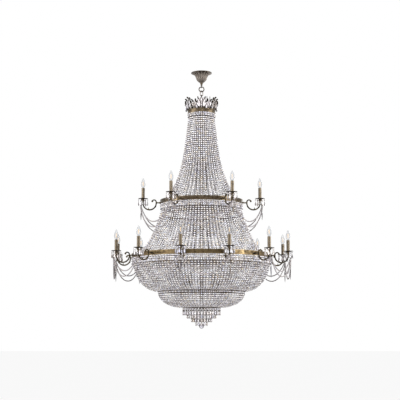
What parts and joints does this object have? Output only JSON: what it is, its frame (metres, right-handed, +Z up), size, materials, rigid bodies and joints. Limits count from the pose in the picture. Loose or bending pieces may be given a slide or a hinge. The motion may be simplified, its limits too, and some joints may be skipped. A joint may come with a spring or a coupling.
{
  "type": "crystal chandelier",
  "caption": "Tiered chandelier of crystal bead strands on brass rings, with scroll arms that carry candle lamps, hung by a ring and link under a canopy.",
  "frame": {"origin": "middle of the ceiling plate's upper face, at the centre of its bolt circle", "axes": "+Z up to the ceiling; -Y towards the viewer of the picture, +X to the viewer's right"},
  "size_m": [1.424, 1.424, 2.0495],
  "materials": {
    "plate_steel": "zinc plated",
    "dark_brass": "dark patina",
    "antique_brass": "antiqued, satin",
    "gilt_brass": "antiqued, brighter on the edges",
    "crystal": "cut and polished",
    "lamp_glass": "clear",
    "sleeve_brass": "brushed",
    "holder_plastic": "moulded"
  },
  "bodies": {
    "ceiling_mount": {"ceiling_plate": "plate_steel", "hanger_stem": "antique_brass", "lock_nut": "plate_steel"},
    "canopy": {"canopy": "antique_brass", "canopy_collar": "antique_brass"},
    "hanging_ring": {"hanging_ring": "dark_brass"},
    "link": {"suspension_link": "antique_brass"},
    "chandelier": {"crown_hub": "dark_brass", "centre_stem": "antique_brass", "stem_collars": "antique_brass", "crown_band": "antique_brass", "upper_band": "antique_brass", "lower_band": "gilt_brass", "bowl_ring": "dark_brass", "base_ring": "dark_brass", "crown_frame": "antique_brass", "upper_frame": "antique_brass", "lower_frame": "antique_brass", "bowl_frame": "antique_brass", "base_frame": "antique_brass", "crown_plumes": "dark_brass", "crown_crystals": "crystal", "upper_tent": "crystal", "lower_tent": "crystal", "main_bowl": "crystal", "lower_bowl": "crystal", "skirt_strands": "crystal", "upper_arms": "antique_brass", "lower_arms": "antique_brass", "arm_bosses": "dark_brass", "candle_cups": "antique_brass", "drip_pans": "dark_brass", "pan_crystals": "crystal", "candle_sleeves": "sleeve_brass", "lampholders": "holder_plastic", "arm_spears": "crystal", "garlands": "crystal", "base_drops": "crystal", "bottom_ball": "crystal", "inner_candles": "sleeve_brass", "inner_lamps": "lamp_glass"},
    "lamp_upper_1": {"lamp_upper_1": "lamp_glass"},
    "lamp_upper_2": {"lamp_upper_2": "lamp_glass"},
    "lamp_upper_3": {"lamp_upper_3": "lamp_glass"},
    "lamp_upper_4": {"lamp_upper_4": "lamp_glass"},
    "lamp_upper_5": {"lamp_upper_5": "lamp_glass"},
    "lamp_upper_6": {"lamp_upper_6": "lamp_glass"},
    "lamp_lower_1": {"lamp_lower_1": "lamp_glass"},
    "lamp_lower_2": {"lamp_lower_2": "lamp_glass"},
    "lamp_lower_3": {"lamp_lower_3": "lamp_glass"},
    "lamp_lower_4": {"lamp_lower_4": "lamp_glass"},
    "lamp_lower_5": {"lamp_lower_5": "lamp_glass"},
    "lamp_lower_6": {"lamp_lower_6": "lamp_glass"},
    "lamp_lower_7": {"lamp_lower_7": "lamp_glass"},
    "lamp_lower_8": {"lamp_lower_8": "lamp_glass"},
    "lamp_lower_9": {"lamp_lower_9": "lamp_glass"},
    "lamp_lower_10": {"lamp_lower_10": "lamp_glass"},
    "lamp_lower_11": {"lamp_lower_11": "lamp_glass"},
    "lamp_lower_12": {"lamp_lower_12": "lamp_glass"}
  },
  "joints": [
    {"name": "canopy_slide", "type": "slide", "parent": "ceiling_mount", "child": "canopy", "axis": [0, 0, -1], "range_m": [0, 0.0115]},
    {"name": "ring_swing", "type": "hinge", "parent": "ceiling_mount", "child": "hanging_ring", "pos_m": [0, 0, -0.1167], "axis": [1, 0, 0], "range_deg": [-12, 12]},
    {"name": "link_swing", "type": "hinge", "parent": "hanging_ring", "child": "link", "pos_m": [0, 0, -0.1567], "axis": [1, 0, 0], "range_deg": [-12, 12]},
    {"name": "chandelier_swing", "type": "hinge", "parent": "link", "child": "chandelier", "pos_m": [0, 0, -0.1832], "axis": [0, 1, 0], "range_deg": [-12, 12]},
    {"name": "lamp_upper_1_turn", "type": "hinge", "parent": "chandelier", "child": "lamp_upper_1", "pos_m": [0.232, -0.40184, -0.9422], "axis": [0, 0, 1], "continuous": true},
    {"name": "lamp_upper_2_turn", "type": "hinge", "parent": "chandelier", "child": "lamp_upper_2", "pos_m": [0.464, 0, -0.9422], "axis": [0, 0, 1], "continuous": true},
    {"name": "lamp_upper_3_turn", "type": "hinge", "parent": "chandelier", "child": "lamp_upper_3", "pos_m": [0.232, 0.40184, -0.9422], "axis": [0, 0, 1], "continuous": true},
    {"name": "lamp_upper_4_turn", "type": "hinge", "parent": "chandelier", "child": "lamp_upper_4", "pos_m": [-0.232, 0.40184, -0.9422], "axis": [0, 0, 1], "continuous": true},
    {"name": "lamp_upper_5_turn", "type": "hinge", "parent": "chandelier", "child": "lamp_upper_5", "pos_m": [-0.464, 0, -0.9422], "axis": [0, 0, 1], "continuous": true},
    {"name": "lamp_upper_6_turn", "type": "hinge", "parent": "chandelier", "child": "lamp_upper_6", "pos_m": [-0.232, -0.40184, -0.9422], "axis": [0, 0, 1], "continuous": true},
    {"name": "lamp_lower_1_turn", "type": "hinge", "parent": "chandelier", "child": "lamp_lower_1", "pos_m": [0.2023, -0.65759, -1.3722], "axis": [0, 0, 1], "continuous": true},
    {"name": "lamp_lower_2_turn", "type": "hinge", "parent": "chandelier", "child": "lamp_lower_2", "pos_m": [0.50399, -0.46834, -1.3722], "axis": [0, 0, 1], "continuous": true},
    {"name": "lamp_lower_3_turn", "type": "hinge", "parent": "chandelier", "child": "lamp_lower_3", "pos_m": [0.67064, -0.1536, -1.3722], "axis": [0, 0, 1], "continuous": true},
    {"name": "lamp_lower_4_turn", "type": "hinge", "parent": "chandelier", "child": "lamp_lower_4", "pos_m": [0.65759, 0.2023, -1.3722], "axis": [0, 0, 1], "continuous": true},
    {"name": "lamp_lower_5_turn", "type": "hinge", "parent": "chandelier", "child": "lamp_lower_5", "pos_m": [0.46834, 0.50399, -1.3722], "axis": [0, 0, 1], "continuous": true},
    {"name": "lamp_lower_6_turn", "type": "hinge", "parent": "chandelier", "child": "lamp_lower_6", "pos_m": [0.1536, 0.67064, -1.3722], "axis": [0, 0, 1], "continuous": true},
    {"name": "lamp_lower_7_turn", "type": "hinge", "parent": "chandelier", "child": "lamp_lower_7", "pos_m": [-0.2023, 0.65759, -1.3722], "axis": [0, 0, 1], "continuous": true},
    {"name": "lamp_lower_8_turn", "type": "hinge", "parent": "chandelier", "child": "lamp_lower_8", "pos_m": [-0.50399, 0.46834, -1.3722], "axis": [0, 0, 1], "continuous": true},
    {"name": "lamp_lower_9_turn", "type": "hinge", "parent": "chandelier", "child": "lamp_lower_9", "pos_m": [-0.67064, 0.1536, -1.3722], "axis": [0, 0, 1], "continuous": true},
    {"name": "lamp_lower_10_turn", "type": "hinge", "parent": "chandelier", "child": "lamp_lower_10", "pos_m": [-0.65759, -0.2023, -1.3722], "axis": [0, 0, 1], "continuous": true},
    {"name": "lamp_lower_11_turn", "type": "hinge", "parent": "chandelier", "child": "lamp_lower_11", "pos_m": [-0.46834, -0.50399, -1.3722], "axis": [0, 0, 1], "continuous": true},
    {"name": "lamp_lower_12_turn", "type": "hinge", "parent": "chandelier", "child": "lamp_lower_12", "pos_m": [-0.1536, -0.67064, -1.3722], "axis": [0, 0, 1], "continuous": true}
  ]
}
